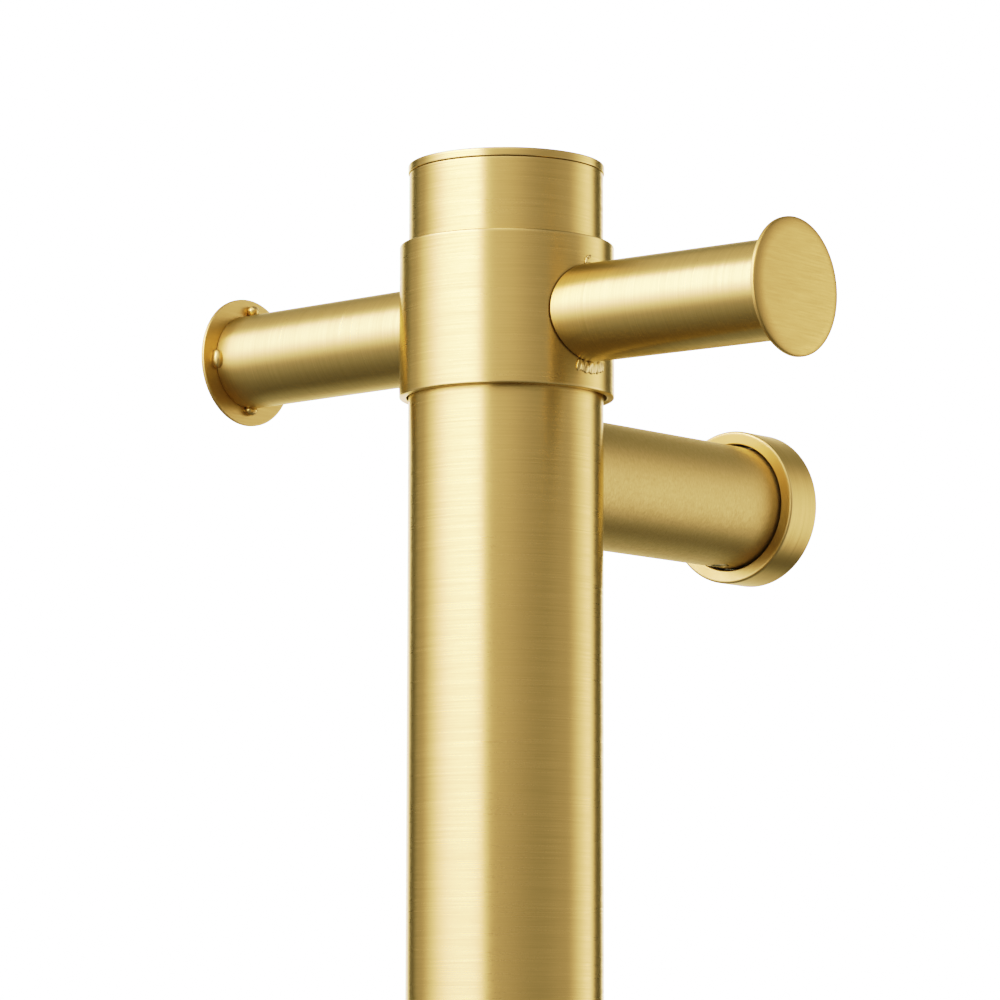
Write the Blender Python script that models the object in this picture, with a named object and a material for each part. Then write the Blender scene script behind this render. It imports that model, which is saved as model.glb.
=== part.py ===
"""Vertical single-bar towel warmer, hung on a wall by two arms, with a two-peg hook collar.

Frame: the origin is on the wall, behind the upper arm's axis. +X is to the right for someone who
faces the wall, +Y points into the wall, and +Z is up. Lengths are in metres.
"""

from math import cos, pi, radians, sin, sqrt

import bmesh
import bpy
from mathutils import Vector

MM = 0.001
GAP = 0.3 * MM  # between pieces that touch

# The bar
BAR_TO_WALL = 81 * MM
BAR_RADIUS = 19.05 * MM
BAR_WALL = 1.5 * MM
BAR_HEIGHT = 900 * MM  # over both caps
ARM_TO_BAR_END = 60.3 * MM
CAP_RADIUS = 19.25 * MM
CAP_RIM = 1.4 * MM
CAP_PLUG_LENGTH = 7 * MM
CAP_SEAL_HEIGHT = 1.4 * MM
CAP_SEAL_DEPTH = 0.8 * MM

# The arms, wall brackets and rosettes
ARM_RADIUS = 12.7 * MM
ARM_WALL = 1.5 * MM
CABLE_HOLE_IN_BAR = 8 * MM
BRACKET_BASE_RADIUS = 14.2 * MM
BRACKET_BASE_THICKNESS = 4 * MM
SPIGOT_RADIUS = ARM_RADIUS - ARM_WALL - GAP
SPIGOT_WALL = 1.6 * MM
SPIGOT_LENGTH = 24 * MM
WALL_SCREW_HOLE = 2.1 * MM
WALL_SCREW_OFFSET = 6.4 * MM
BRACKET_CABLE_HOLE = 3.2 * MM
GRUB_SCREW_RADIUS = 2.2 * MM
GRUB_SCREW_LENGTH = 3 * MM
GRUB_SCREW_FROM_WALL = 13.5 * MM
HEX_KEY_RADIUS = 1.3 * MM
ROSETTE_RADIUS = 15.875 * MM
ROSETTE_THICKNESS = 9 * MM
ROSETTE_BORE = ARM_RADIUS + 0.5 * MM
ROSETTE_OFF_WALL = 0.2 * MM
ROSETTE_RECESS_RADIUS = BRACKET_BASE_RADIUS + 0.4 * MM
ROSETTE_RECESS_DEPTH = 5 * MM
RING_SECTION = 0.55 * MM  # radius of the rubber ring's section
RING_FROM_FRONT = 2 * MM

# The hook collar
COLLAR_RADIUS = 21 * MM
COLLAR_BORE = 19.6 * MM
COLLAR_HEIGHT = 30 * MM
COLLAR_BELOW_TOP = 16.1 * MM
BAND_HEIGHT = 2.8 * MM
BAND_THICKNESS = 0.65 * MM
BAND_FROM_EDGE = 5 * MM
PEG_RADIUS = 9.525 * MM
PEG_WALL = 1.2 * MM
PEG_BELOW_TOP = 31.4 * MM
PEG_REACH = 71 * MM  # bar axis to the disc's outer face
DISC_RADIUS = 13.1 * MM
DISC_THICKNESS = 1.5 * MM
DISC_EDGE = 0.9 * MM

# The heating element and its wiring
CABLE_RADIUS = 2.5 * MM
CABLE_OFFSET = 7 * MM  # each leg of the hairpin from the bar's axis
SPACER_THICKNESS = 5 * MM
SLEEVE_RADIUS = 3.4 * MM
SLEEVE_LENGTH = 22 * MM
CUTOUT_RADIUS = 3.2 * MM
CUTOUT_LENGTH = 20 * MM
LEAD_RADIUS = 1.1 * MM
TERMINAL_SIZE = Vector((16, 18, 12)) * MM
TERMINAL_PITCH = 5.2 * MM
TERMINAL_FROM_WALL = 45 * MM
TERMINAL_BORE = LEAD_RADIUS + GAP
LUG_OFFSET = 6 * MM
LUG_RADIUS = 2.4 * MM
LUG_THICKNESS = 0.8 * MM
LUG_BARREL_DROP = 4.2 * MM
EARTH_THREAD_RADIUS = 1.25 * MM

# Places that follow
BAR_INNER = BAR_RADIUS - BAR_WALL
BAR_TOP = ARM_TO_BAR_END
BAR_BOTTOM = BAR_TOP - BAR_HEIGHT
LOWER_ARM = -(BAR_HEIGHT - 2 * ARM_TO_BAR_END)
COLLAR_TOP = BAR_TOP - COLLAR_BELOW_TOP
COLLAR_BOTTOM = COLLAR_TOP - COLLAR_HEIGHT
PEG_HEIGHT = BAR_TOP - PEG_BELOW_TOP
COLLAR_SCREW_HEIGHT = (COLLAR_TOP + COLLAR_BOTTOM) / 2
ARM_HEIGHTS = {"upper": 0.0, "lower": LOWER_ARM}
CABLE_TOP = 20 * MM
CABLE_BOTTOM = LOWER_ARM + 64 * MM
SPACER_HEIGHTS = (CABLE_TOP - 25 * MM, (CABLE_TOP + CABLE_BOTTOM) / 2, CABLE_BOTTOM + 60 * MM)

# Directions for pieces that are built along their own +Z
UP = (0, 0, 0)
TO_BAR = (pi / 2, 0, 0)
TO_WALL = (-pi / 2, 0, 0)
TO_RIGHT = (0, pi / 2, 0)
TO_LEFT = (0, -pi / 2, 0)
DOWN = (pi, 0, 0)

FINE = 48
MEDIUM = 40
COARSE = 24
SMALL = 12


def clear_scene():
    for obj in list(bpy.data.objects):
        bpy.data.objects.remove(obj, do_unlink=True)


def make_material(name, colour, metallic, roughness):
    material = bpy.data.materials.new(name)
    material.use_nodes = True
    shader = material.node_tree.nodes["Principled BSDF"]
    shader.inputs["Base Color"].default_value = (*colour, 1)
    shader.inputs["Metallic"].default_value = metallic
    shader.inputs["Roughness"].default_value = roughness
    material.diffuse_color = (*colour, 1)
    return material


def add_object(name, mesh, material=None, location=(0, 0, 0), rotation=UP):
    obj = bpy.data.objects.new(name, mesh)
    obj.location = location
    obj.rotation_euler = rotation
    bpy.context.scene.collection.objects.link(obj)
    if material:
        mesh.materials.append(material)
    return obj


def mesh_from(bm, name):
    bmesh.ops.recalc_face_normals(bm, faces=bm.faces)
    mesh = bpy.data.meshes.new(name)
    bm.to_mesh(mesh)
    bm.free()
    mesh.shade_smooth()
    mesh.set_sharp_from_angle(angle=radians(35))
    return mesh


def turned_mesh(name, profile, steps):
    """A closed outline of (radius, height) points, spun round the Z axis."""
    bm = bmesh.new()
    points = [bm.verts.new((radius, 0, height)) for radius, height in profile]
    edges = [bm.edges.new((a, b)) for a, b in zip(points, points[1:] + points[:1])]
    bmesh.ops.spin(
        bm, geom=points + edges, axis=(0, 0, 1), cent=(0, 0, 0), angle=2 * pi, steps=steps
    )
    bmesh.ops.remove_doubles(bm, verts=bm.verts, dist=0.001 * MM)
    bmesh.ops.dissolve_degenerate(bm, edges=bm.edges, dist=0.001 * MM)
    return mesh_from(bm, name)


def turned(name, profile, material, location=(0, 0, 0), rotation=UP, steps=MEDIUM):
    return add_object(name, turned_mesh(name, profile, steps), material, location, rotation)


def arc(centre, radius, start, end, steps):
    """Points of a round stretch of an outline, its angles in degrees."""
    angles = [radians(start + (end - start) * i / steps) for i in range(steps + 1)]
    return [(centre[0] + radius * cos(a), centre[1] + radius * sin(a)) for a in angles]


def tube_profile(inner, outer, low, high):
    return [(inner, low), (outer, low), (outer, high), (inner, high)]


def rod_profile(radius, low, high, chamfer=0.0):
    if chamfer == 0:
        return [(0, low), (radius, low), (radius, high), (0, high)]
    return [
        (0, low),
        (radius - chamfer, low),
        (radius, low + chamfer),
        (radius, high - chamfer),
        (radius - chamfer, high),
        (0, high),
    ]


def cut(obj, name, profile, location, rotation=UP, steps=SMALL):
    """Takes a turned shape out of an object."""
    cutter = turned("cutter_" + name, profile, None, location, rotation, steps)
    cutter.hide_render = True
    cutter.display_type = "WIRE"
    boolean = obj.modifiers.new(name, "BOOLEAN")
    boolean.operation = "DIFFERENCE"
    boolean.solver = "EXACT"
    boolean.object = cutter
    return cutter


def cope(obj, end, centre, radius, across):
    """Fits one end of a tube round a cylinder whose axis crosses the tube's own axis."""
    for vertex in obj.data.vertices:
        if abs(vertex.co.z - end) < 0.01 * MM:
            reach = sqrt(radius**2 - vertex.co[across] ** 2)
            vertex.co.z = centre - reach if centre > end else centre + reach


def smooth_route(points, steps):
    """Points along a smooth curve through the given ones."""
    ends = [2 * points[0] - points[1], *points, 2 * points[-1] - points[-2]]
    route = []
    for before, start, end, after in zip(ends, ends[1:], ends[2:], ends[3:]):
        for i in range(steps):
            t = i / steps
            route.append(
                0.5 * (2 * start + (end - before) * t)
                + 0.5 * (2 * before - 5 * start + 4 * end - after) * t**2
                + 0.5 * (3 * start - before - 3 * end + after) * t**3
            )
    return [*route, points[-1]]


def cable(name, route, radius, material):
    curve = bpy.data.curves.new(name, "CURVE")
    curve.dimensions = "3D"
    curve.bevel_depth = radius
    curve.bevel_resolution = 2
    curve.use_fill_caps = True
    spline = curve.splines.new("POLY")
    spline.points.add(len(route) - 1)
    for point, place in zip(spline.points, route):
        point.co = (*place, 1)
    return add_object(name, curve, material)


def pivot(name, location, pieces):
    """An empty on a joint's axis, which carries the pieces that move on it."""
    empty = bpy.data.objects.new(name, None)
    empty.empty_display_size = 20 * MM
    empty.location = location
    bpy.context.scene.collection.objects.link(empty)
    for piece in pieces:
        piece.parent = empty
        piece.location -= Vector(location)


def on_bar(height):
    return Vector((0, -BAR_TO_WALL, height))


def on_wall(height):
    return Vector((0, 0, height))


def make_bar(gold):
    low = BAR_BOTTOM + CAP_RIM + GAP
    high = BAR_TOP - CAP_RIM - GAP
    bar = turned("bar_tube", tube_profile(BAR_INNER, BAR_RADIUS, low, high), gold, on_bar(0), UP, FINE)
    hole = rod_profile(CABLE_HOLE_IN_BAR, 10 * MM, 25 * MM)
    cut(bar, "cable_hole", hole, on_bar(LOWER_ARM), TO_WALL, COARSE)


def make_cap(side, height, direction, gold, rubber):
    """A disc cap with a plug; its own +Z points out of the bar's end."""
    plug = BAR_INNER - GAP
    seal_outer = plug - 0.05 * MM
    seal_inner = seal_outer - CAP_SEAL_DEPTH
    groove = seal_inner - GAP
    seal_low = -CAP_RIM - CAP_PLUG_LENGTH / 2
    seal_high = seal_low + CAP_SEAL_HEIGHT
    low = -CAP_RIM - CAP_PLUG_LENGTH
    edge = 0.2 * MM
    profile = [
        (0, low),
        (plug, low),
        (plug, seal_low - GAP),
        (groove, seal_low - GAP),
        (groove, seal_high + GAP),
        (plug, seal_high + GAP),
        (plug, -CAP_RIM),
        (CAP_RADIUS, -CAP_RIM),
        (CAP_RADIUS, -edge),
        (CAP_RADIUS - edge, 0),
        (0, 0),
    ]
    turned(side + "_cap", profile, gold, on_bar(height), direction, MEDIUM)
    seal = tube_profile(seal_inner, seal_outer, seal_low, seal_high)
    turned(side + "_cap_seal", seal, rubber, on_bar(height), direction, COARSE)


def make_arm(side, height, gold):
    start = BRACKET_BASE_THICKNESS + GAP
    end = BAR_TO_WALL - BAR_RADIUS
    profile = tube_profile(ARM_RADIUS - ARM_WALL, ARM_RADIUS, start, end)
    arm = turned(side + "_arm", profile, gold, on_wall(height), TO_BAR)
    cope(arm, end, BAR_TO_WALL, BAR_RADIUS + GAP, across=0)
    screw_centre = Vector((0, -GRUB_SCREW_FROM_WALL, height))
    hole = rod_profile(GRUB_SCREW_RADIUS + GAP, 8 * MM, 16 * MM)
    cut(arm, side + "_arm_screw_hole", hole, screw_centre, DOWN)


def make_grub_screw(name, material, centre, direction, tip):
    """A socket set screw that points at the centre, with its tip at the given distance from it."""
    end = tip + GRUB_SCREW_LENGTH
    profile = rod_profile(GRUB_SCREW_RADIUS, tip, end, 0.3 * MM)
    screw = turned(name, profile, material, centre, direction, SMALL)
    socket = rod_profile(HEX_KEY_RADIUS, end - 1.6 * MM, end + 1 * MM)
    cut(screw, name + "_socket", socket, centre, direction, 6)
    return screw


def make_bracket(side, height, steel):
    """A base disc on the wall with a hollow spigot, which the arm slips over."""
    inner = SPIGOT_RADIUS - SPIGOT_WALL
    end = BRACKET_BASE_THICKNESS + SPIGOT_LENGTH
    chamfer = 0.5 * MM
    profile = [
        (0, 0),
        (BRACKET_BASE_RADIUS, 0),
        (BRACKET_BASE_RADIUS, BRACKET_BASE_THICKNESS),
        (SPIGOT_RADIUS, BRACKET_BASE_THICKNESS),
        (SPIGOT_RADIUS, end - chamfer),
        (SPIGOT_RADIUS - chamfer, end),
        (inner, end),
        (inner, BRACKET_BASE_THICKNESS),
        (0, BRACKET_BASE_THICKNESS),
    ]
    name = side + "_wall_bracket"
    bracket = turned(name, profile, steel, on_wall(height), TO_BAR)
    screw_hole = [
        (0, -1 * MM),
        (WALL_SCREW_HOLE, -1 * MM),
        (WALL_SCREW_HOLE, BRACKET_BASE_THICKNESS - 0.8 * MM),
        (WALL_SCREW_HOLE + 1.8 * MM, BRACKET_BASE_THICKNESS + 1 * MM),
        (0, BRACKET_BASE_THICKNESS + 1 * MM),
    ]
    for number, offset in enumerate((-WALL_SCREW_OFFSET, WALL_SCREW_OFFSET), 1):
        place = on_wall(height + offset)
        cut(bracket, f"{name}_screw_hole_{number}", screw_hole, place, TO_BAR, SMALL)
    lock_centre = Vector((0, -GRUB_SCREW_FROM_WALL, height))
    lock_hole = rod_profile(GRUB_SCREW_RADIUS + GAP, 7 * MM, 16 * MM)
    cut(bracket, name + "_lock_hole", lock_hole, lock_centre, DOWN)
    return bracket


def make_rosette(side, height, gold, rubber):
    """A cover ring round the arm, with a rubber ring in its bore and a recess over the bracket."""
    front = ROSETTE_THICKNESS
    back = ROSETTE_OFF_WALL
    ring_height = front - RING_FROM_FRONT
    ring_centre = ARM_RADIUS + GAP + RING_SECTION
    groove = ring_centre + RING_SECTION + GAP
    groove_low = ring_height - RING_SECTION - GAP
    groove_high = ring_height + RING_SECTION + GAP
    edge = 1 * MM
    profile = [
        (ROSETTE_RECESS_RADIUS, back),
        (ROSETTE_RADIUS, back),
        *arc((ROSETTE_RADIUS - edge, front - edge), edge, 0, 90, 3),
        (ROSETTE_BORE, front),
        (ROSETTE_BORE, groove_high),
        (groove, groove_high),
        (groove, groove_low),
        (ROSETTE_BORE, groove_low),
        (ROSETTE_BORE, back + ROSETTE_RECESS_DEPTH),
        (ROSETTE_RECESS_RADIUS, back + ROSETTE_RECESS_DEPTH),
    ]
    rosette = turned(side + "_rosette", profile, gold, on_wall(height), TO_BAR)
    section = arc((ring_centre, ring_height), RING_SECTION, 0, 300, 5)
    ring = turned(side + "_rosette_ring", section, rubber, on_wall(height), TO_BAR, COARSE)
    pivot(side + "_rosette_axis", on_wall(height), (rosette, ring))


def make_collar(gold, nylon, steel):
    half = COLLAR_HEIGHT / 2
    middle = (COLLAR_TOP + COLLAR_BOTTOM) / 2
    band_inner = BAR_RADIUS + GAP
    band_outer = band_inner + BAND_THICKNESS
    groove = band_outer + GAP
    edge = 0.2 * MM
    profile = [
        (COLLAR_BORE, -half),
        (COLLAR_RADIUS - edge, -half),
        (COLLAR_RADIUS, -half + edge),
        (COLLAR_RADIUS, half - edge),
        (COLLAR_RADIUS - edge, half),
        (COLLAR_BORE, half),
    ]
    bands = []
    band_heights = {"upper": half - BAND_FROM_EDGE, "lower": -half + BAND_FROM_EDGE}
    for side, band_height in band_heights.items():
        high = band_height + BAND_HEIGHT / 2
        low = band_height - BAND_HEIGHT / 2
        profile += [
            (COLLAR_BORE, high + GAP),
            (groove, high + GAP),
            (groove, low - GAP),
            (COLLAR_BORE, low - GAP),
        ]
        section = tube_profile(band_inner, band_outer, low, high)
        bands.append(turned("collar_band_" + side, section, nylon, on_bar(middle), UP, FINE))
    collar = turned("hook_collar", profile, gold, on_bar(middle), UP, FINE)
    hole = rod_profile(GRUB_SCREW_RADIUS + GAP, 15 * MM, 25 * MM)
    hole_cutter = cut(collar, "collar_screw_hole", hole, on_bar(middle), TO_WALL)
    screw = make_grub_screw(
        "collar_grub_screw", steel, on_bar(middle), TO_WALL, BAR_RADIUS + GAP
    )
    pivot("collar_slide_axis", on_bar(middle), bands)
    return [collar, hole_cutter, screw]


def make_peg(side, direction, gold):
    start = COLLAR_RADIUS
    disc_back = PEG_REACH - DISC_THICKNESS
    profile = tube_profile(PEG_RADIUS - PEG_WALL, PEG_RADIUS, start, disc_back - GAP)
    peg = turned(side + "_peg", profile, gold, on_bar(PEG_HEIGHT), direction)
    cope(peg, start, 0, COLLAR_RADIUS + GAP, across=1)
    disc_profile = [
        (0, disc_back),
        (DISC_RADIUS - 0.2 * MM, disc_back),
        (DISC_RADIUS, disc_back + 0.2 * MM),
        *arc((DISC_RADIUS - DISC_EDGE, PEG_REACH - DISC_EDGE), DISC_EDGE, 0, 90, 3),
        (0, PEG_REACH),
    ]
    disc = turned(side + "_peg_disc", disc_profile, gold, on_bar(PEG_HEIGHT), direction)
    return [peg, disc]


def make_hook(gold, nylon, steel):
    pieces = make_collar(gold, nylon, steel)
    pieces += make_peg("left", TO_LEFT, gold)
    pieces += make_peg("right", TO_RIGHT, gold)
    pivot("hook_axis", on_bar(COLLAR_SCREW_HEIGHT), pieces)


def make_element(cable_skin, ceramic, sleeve, cutout_case):
    """A hairpin of heating cable that stands in the bar, held off its wall by spacers."""
    low = CABLE_BOTTOM
    left = on_bar(0) + Vector((-CABLE_OFFSET, 0, low))
    right = on_bar(0) + Vector((CABLE_OFFSET, 0, low))
    turn = [
        on_bar(CABLE_TOP) + CABLE_OFFSET * Vector((-cos(pi * i / 10), 0, sin(pi * i / 10)))
        for i in range(11)
    ]
    cable("heating_cable", [left, *turn, right], CABLE_RADIUS, cable_skin)
    for number, height in enumerate(SPACER_HEIGHTS, 1):
        name = f"element_spacer_{number}"
        body = rod_profile(BAR_INNER - GAP, 0, SPACER_THICKNESS)
        spacer = turned(name, body, ceramic, on_bar(height), UP, COARSE)
        hole = rod_profile(CABLE_RADIUS + GAP, -2 * MM, SPACER_THICKNESS + 2 * MM)
        for leg, offset in (("left", -CABLE_OFFSET), ("right", CABLE_OFFSET)):
            place = on_bar(height) + Vector((offset, 0, 0))
            cut(spacer, f"{name}_{leg}_hole", hole, place)
    sleeve_top = low - GAP
    sleeve_low = sleeve_top - SLEEVE_LENGTH
    body = rod_profile(SLEEVE_RADIUS, sleeve_low, sleeve_top, 0.5 * MM)
    for wire, offset in (("live", -CABLE_OFFSET), ("neutral", CABLE_OFFSET)):
        place = on_bar(0) + Vector((offset, 0, 0))
        turned("splice_sleeve_" + wire, body, sleeve, place, UP, SMALL)
    cutout_top = sleeve_low - GAP
    cutout = rod_profile(CUTOUT_RADIUS, cutout_top - CUTOUT_LENGTH, cutout_top, 0.6 * MM)
    place = on_bar(0) + Vector((-CABLE_OFFSET, 0, 0))
    turned("thermal_cutout", cutout, cutout_case, place, UP, SMALL)


def make_leads(brown, blue, green):
    """The element's two leads to the terminal block, and the earth lead on to the lug."""
    axis = on_bar(LOWER_ARM)
    block_front = BAR_TO_WALL - TERMINAL_FROM_WALL - TERMINAL_SIZE.y / 2
    sleeve_low = CABLE_BOTTOM - GAP - SLEEVE_LENGTH - LOWER_ARM
    live_top = sleeve_low - GAP - CUTOUT_LENGTH - GAP
    neutral_top = sleeve_low - GAP
    inside = block_front + 4 * MM
    live_x = -TERMINAL_PITCH
    live = [
        (-CABLE_OFFSET, 0, live_top),
        (-CABLE_OFFSET, 0.5 * MM, live_top - 7 * MM),
        (live_x - 1 * MM, 6 * MM, 3 * MM),
        (live_x, 13 * MM, 0),
        (live_x, block_front - 6 * MM, 0),
        (live_x, inside, 0),
    ]
    neutral = [
        (CABLE_OFFSET, 0, neutral_top),
        (CABLE_OFFSET, 0, neutral_top - 16 * MM),
        (4.5 * MM, 5 * MM, 6 * MM),
        (1 * MM, 14 * MM, 0.5 * MM),
        (0, block_front - 5 * MM, 0),
        (0, inside, 0),
    ]
    for name, route, skin in (("live", live, brown), ("neutral", neutral, blue)):
        points = [axis + Vector(point) for point in route]
        cable(name + "_lead", smooth_route(points, 4), LEAD_RADIUS, skin)
    wall = on_wall(LOWER_ARM)
    block_back = TERMINAL_FROM_WALL - TERMINAL_SIZE.y / 2
    earth = [
        (TERMINAL_PITCH, -block_back - 4 * MM, 0),
        (TERMINAL_PITCH, -block_back + 4 * MM, 0),
        (LUG_OFFSET, -(block_back + 12 * MM) / 2, -LUG_BARREL_DROP / 2),
        (LUG_OFFSET, -12 * MM, -LUG_BARREL_DROP),
        (LUG_OFFSET, -9 * MM - GAP, -LUG_BARREL_DROP),
    ]
    points = [wall + Vector(point) for point in earth]
    cable("earth_lead", smooth_route(points, 3), LEAD_RADIUS, green)


def make_terminal_block(plastic, steel):
    centre = Vector((0, -TERMINAL_FROM_WALL, LOWER_ARM))
    bm = bmesh.new()
    bmesh.ops.create_cube(bm, size=1)
    bmesh.ops.scale(bm, vec=TERMINAL_SIZE, verts=bm.verts)
    block = add_object("terminal_block", mesh_from(bm, "terminal_block"), plastic, centre)
    bevel = block.modifiers.new("rounded_edges", "BEVEL")
    bevel.width = 0.8 * MM
    bevel.segments = 1
    half = TERMINAL_SIZE.y / 2
    top = TERMINAL_SIZE.z / 2
    bore = rod_profile(TERMINAL_BORE, -half - 2 * MM, half + 2 * MM)
    shaft = rod_profile(TERMINAL_BORE, 0, top + 2 * MM)
    screw_low = TERMINAL_BORE + 0.1 * MM
    body = rod_profile(LEAD_RADIUS, screw_low, top - 0.7 * MM, 0.2 * MM)
    number = 0
    for way in (-1, 0, 1):
        place = centre + Vector((way * TERMINAL_PITCH, 0, 0))
        cut(block, f"terminal_bore_{way + 2}", bore, place, TO_BAR)
        for end in (-half / 2, half / 2):
            number += 1
            screw_place = place + Vector((0, end, 0))
            cut(block, f"terminal_screw_hole_{number}", shaft, screw_place, steps=SMALL)
            turned(f"terminal_screw_{number}", body, steel, screw_place, UP, SMALL)


def make_earth_lug(copper, steel):
    """A ring lug on the lower bracket's base, with its barrel beside it, and its screw."""
    base = BRACKET_BASE_THICKNESS + GAP
    place = on_wall(LOWER_ARM) + Vector((LUG_OFFSET, 0, 0))
    ring = tube_profile(EARTH_THREAD_RADIUS + GAP, LUG_RADIUS, base, base + LUG_THICKNESS)
    lug = turned("earth_lug", ring, copper, place, TO_BAR, COARSE)
    barrel = rod_profile(LEAD_RADIUS + 0.3 * MM, base, 9 * MM, 0.2 * MM)
    barrel_place = place - Vector((0, 0, LUG_BARREL_DROP))
    tongue = turned("cutter_lug_barrel", barrel, None, barrel_place, TO_BAR, SMALL)
    bm = bmesh.new()
    bmesh.ops.create_cube(bm, size=1)
    size = Vector((2.2 * MM, LUG_THICKNESS, LUG_BARREL_DROP - EARTH_THREAD_RADIUS))
    bmesh.ops.scale(bm, vec=size, verts=bm.verts)
    drop = (LUG_BARREL_DROP + EARTH_THREAD_RADIUS + 0.6 * MM) / 2
    strip_place = place - Vector((0, base + LUG_THICKNESS / 2, drop))
    strip = add_object("cutter_lug_strip", mesh_from(bm, "lug_strip"), None, strip_place)
    for helper in (strip, tongue):
        helper.hide_render = True
        helper.display_type = "WIRE"
        union = lug.modifiers.new(helper.name, "BOOLEAN")
        union.operation = "UNION"
        union.solver = "EXACT"
        union.object = helper
    head_low = base + LUG_THICKNESS + GAP
    screw = [
        (0, 1 * MM),
        (EARTH_THREAD_RADIUS, 1 * MM),
        (EARTH_THREAD_RADIUS, head_low),
        (LUG_RADIUS - 0.3 * MM, head_low),
        (LUG_RADIUS - 0.3 * MM, head_low + 1.2 * MM),
        (LUG_RADIUS - 0.8 * MM, head_low + 1.6 * MM),
        (0, head_low + 1.6 * MM),
    ]
    turned("earth_screw", screw, steel, place, TO_BAR, SMALL)


def make_wall_side(gold_blasted, gold, steel, rubber):
    brackets = {}
    for side, height in ARM_HEIGHTS.items():
        make_arm(side, height, gold_blasted)
        brackets[side] = make_bracket(side, height, steel)
        make_rosette(side, height, gold, rubber)
        centre = Vector((0, -GRUB_SCREW_FROM_WALL, height))
        tip = ARM_RADIUS - 0.2 * MM - GRUB_SCREW_LENGTH
        make_grub_screw(side + "_arm_grub_screw", steel, centre, DOWN, tip)
    lower = brackets["lower"]
    through = rod_profile(BRACKET_CABLE_HOLE, -1 * MM, BRACKET_BASE_THICKNESS + 1 * MM)
    cut(lower, "wall_cable_hole", through, on_wall(LOWER_ARM), TO_BAR, COARSE)
    tapped = rod_profile(EARTH_THREAD_RADIUS + GAP, 0.6 * MM, BRACKET_BASE_THICKNESS + 1 * MM)
    place = on_wall(LOWER_ARM) + Vector((LUG_OFFSET, 0, 0))
    cut(lower, "earth_screw_hole", tapped, place, TO_BAR, SMALL)


def main():
    clear_scene()
    gold = make_material("brushed_gold", (0.72, 0.53, 0.24), 1.0, 0.32)
    gold_blasted = make_material("satin_gold", (0.62, 0.48, 0.24), 1.0, 0.42)
    steel = make_material("plain_steel", (0.55, 0.55, 0.55), 1.0, 0.35)
    rubber = make_material("black_rubber", (0.02, 0.02, 0.02), 0.0, 0.7)
    nylon = make_material("clear_nylon", (0.75, 0.72, 0.65), 0.0, 0.45)
    silicone = make_material("cable_silicone", (0.5, 0.12, 0.06), 0.0, 0.55)
    ceramic = make_material("spacer_ceramic", (0.85, 0.83, 0.78), 0.0, 0.6)
    brown = make_material("brown_insulation", (0.16, 0.07, 0.03), 0.0, 0.5)
    blue = make_material("blue_insulation", (0.03, 0.12, 0.5), 0.0, 0.5)
    green = make_material("green_insulation", (0.2, 0.5, 0.05), 0.0, 0.5)
    plastic = make_material("terminal_plastic", (0.85, 0.84, 0.8), 0.0, 0.5)
    copper = make_material("tinned_copper", (0.75, 0.72, 0.68), 1.0, 0.35)

    make_bar(gold)
    make_cap("top", BAR_TOP, UP, gold, rubber)
    make_cap("bottom", BAR_BOTTOM, DOWN, gold, rubber)
    make_wall_side(gold_blasted, gold, steel, rubber)
    make_hook(gold, nylon, steel)
    make_element(silicone, ceramic, plastic, steel)
    make_leads(brown, blue, green)
    make_terminal_block(plastic, steel)
    make_earth_lug(copper, steel)


main()
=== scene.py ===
"""The looks of the brushed-gold vertical towel warmer: fine surfaces, welds, light and camera.

Everything is in metres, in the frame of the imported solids: the origin is on the wall behind the
upper arm, +X is to the right for someone who faces the wall, +Y points into the wall, +Z is up.
"""

from math import acos, cos, exp, log, pi, radians, sin, sqrt, tan

import bmesh
import bpy
from mathutils import Matrix, Vector, noise


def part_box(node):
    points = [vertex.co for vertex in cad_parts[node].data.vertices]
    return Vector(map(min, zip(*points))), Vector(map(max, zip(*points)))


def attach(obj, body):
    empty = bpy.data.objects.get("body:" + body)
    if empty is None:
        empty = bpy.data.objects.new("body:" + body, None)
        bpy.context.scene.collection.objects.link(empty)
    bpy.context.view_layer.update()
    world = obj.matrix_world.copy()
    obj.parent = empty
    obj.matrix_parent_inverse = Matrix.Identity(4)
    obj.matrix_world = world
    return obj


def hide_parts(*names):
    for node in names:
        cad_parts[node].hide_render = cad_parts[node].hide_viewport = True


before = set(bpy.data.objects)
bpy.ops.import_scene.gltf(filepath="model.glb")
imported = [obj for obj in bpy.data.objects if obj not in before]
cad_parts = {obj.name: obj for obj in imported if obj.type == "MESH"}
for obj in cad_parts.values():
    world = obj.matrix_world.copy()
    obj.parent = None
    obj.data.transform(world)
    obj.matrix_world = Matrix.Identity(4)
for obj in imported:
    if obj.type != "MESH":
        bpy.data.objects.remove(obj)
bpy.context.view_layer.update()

MM = 0.001

# How the pieces are meshed
FINE = 192
MEDIUM = 144
SMALL = 48
ARC_STEPS = 5
SUPPORT = 0.35 * MM  # from a rounded edge to the loop that keeps the flat beside it flat

# Sizes that the frame's boxes don't give
BAR_WALL = 1.5 * MM
CAP_RIM = 1.62 * MM
ARM_WALL = 1.5 * MM
COLLAR_BORE = 19.6 * MM
COLLAR_SAG = 0.25 * MM  # the set screw at the back draws the collar towards the wall
PEG_LIFT = 0.2 * MM  # each peg leaves the collar this far above the discs' middle
PEG_DROOP = radians(0.5)  # and sinks towards its end
PEG_WALL = 1.2 * MM
SEAM = 0.08 * MM  # between a coped end and the tube that it meets
PEG_SEAM = 0.35 * MM
DISC_DOME = 0.3 * MM  # the middle of a disc stands proud of its soft edge
DISC_EDGE_WIDTH = 2.6 * MM
DISC_EDGE_DEPTH = 0.65 * MM
ROSETTE_BORE_GAP = 0.5 * MM
ROSETTE_RECESS_DEPTH = 5 * MM
ROSETTE_RECESS_WALL = 1.275 * MM
RING_GROOVE_DEPTH = 1.2 * MM
SEAL_GROOVE_DEPTH = 1.15 * MM
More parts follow.
